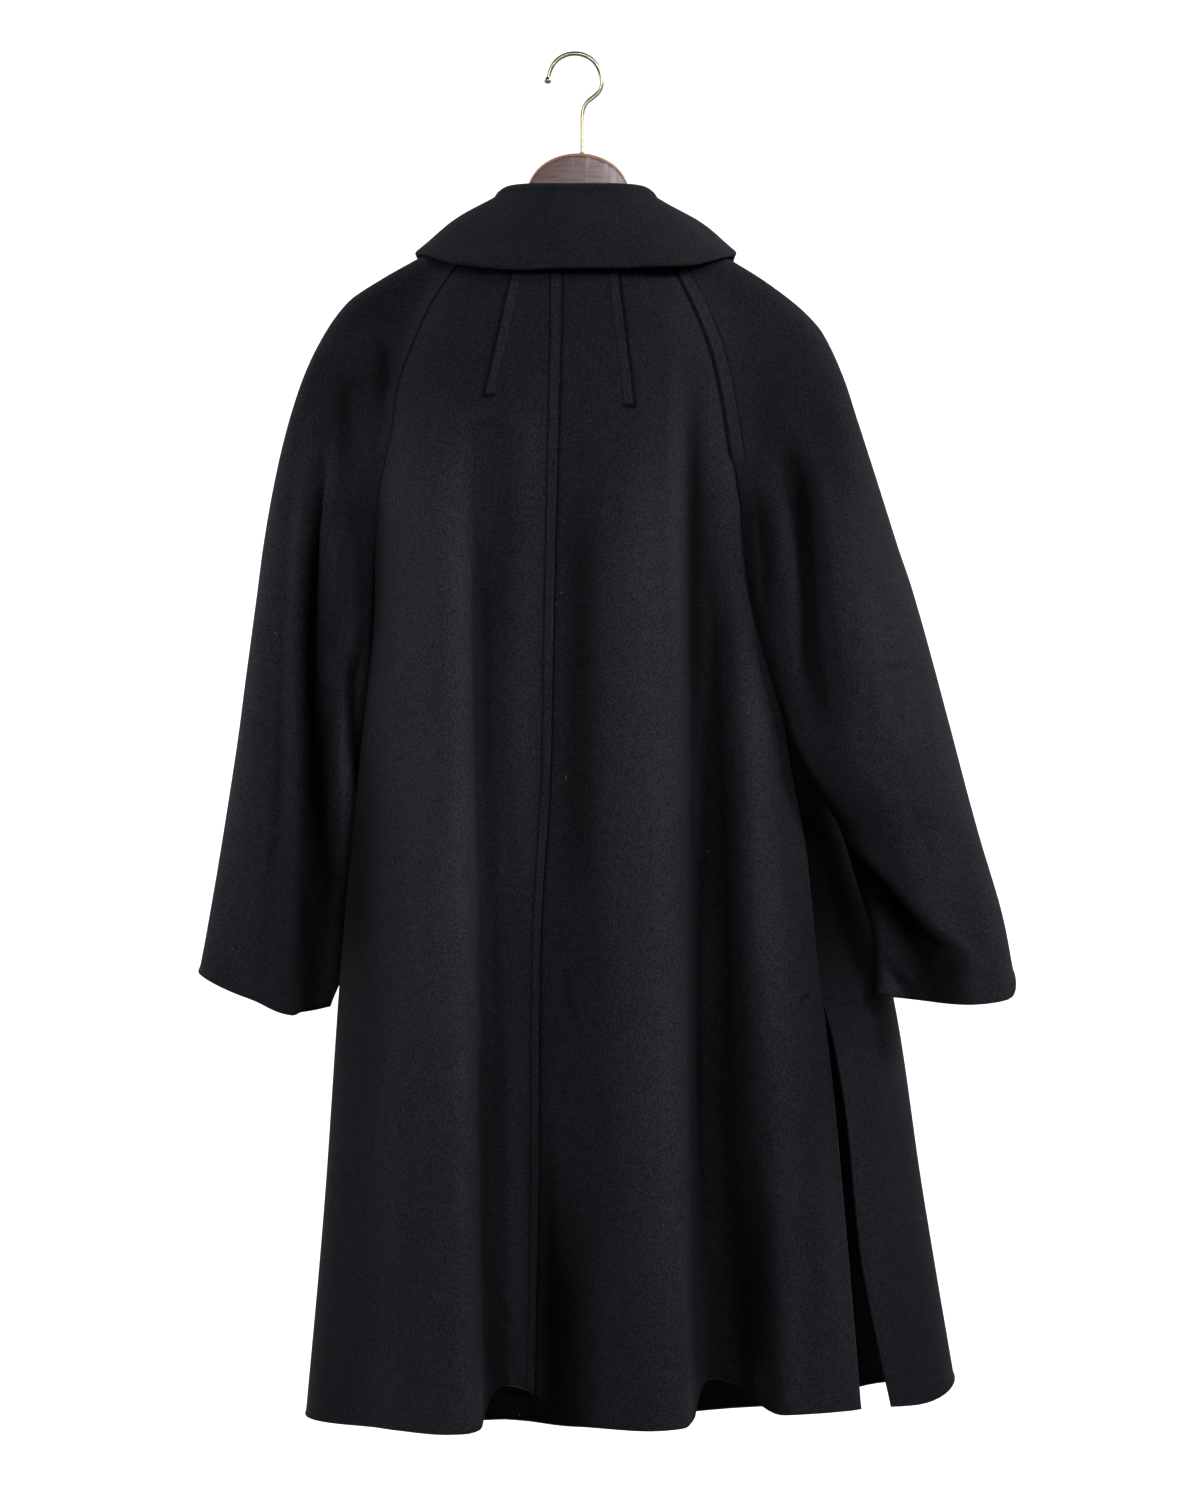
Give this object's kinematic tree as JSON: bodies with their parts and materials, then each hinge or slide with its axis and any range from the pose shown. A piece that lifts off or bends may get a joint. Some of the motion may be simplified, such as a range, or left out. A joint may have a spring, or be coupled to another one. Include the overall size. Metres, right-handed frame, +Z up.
{
  "type": "double-breasted overcoat on a wooden hanger",
  "caption": "Flared wool overcoat with raglan sleeves, turned-down collar, lapped back seam and side vents, hanging hollow on a wooden hanger with a brass hook.",
  "frame": {"origin": "inside the crown of the hanger's hook, where a rail or peg carries it", "axes": "+Z up, -Y out of the coat's back, +X towards the wearer's right"},
  "size_m": [0.7294, 0.2811, 1.2599],
  "materials": {
    "wool": "brushed wool velour with a soft nap",
    "lining": "smooth satin",
    "button": "polished",
    "hanger_wood": "stained and varnished",
    "hook_brass": "polished"
  },
  "bodies": {
    "root": {"back_left": "wool", "back_right": "wool", "front_left": "wool", "front_right": "wool", "sleeve_back_left": "wool", "sleeve_back_right": "wool", "sleeve_front_left": "wool", "sleeve_front_right": "wool", "collar": "wool", "neck_dart_left": "wool", "neck_dart_right": "wool", "lining_back_left": "lining", "lining_back_right": "lining", "lining_front_left": "lining", "lining_front_right": "lining", "button_1": "button", "button_2": "button", "button_3": "button", "button_4": "button", "button_5": "button", "button_6": "button", "hanger": "hanger_wood", "hook": "hook_brass"}
  },
  "joints": []
}
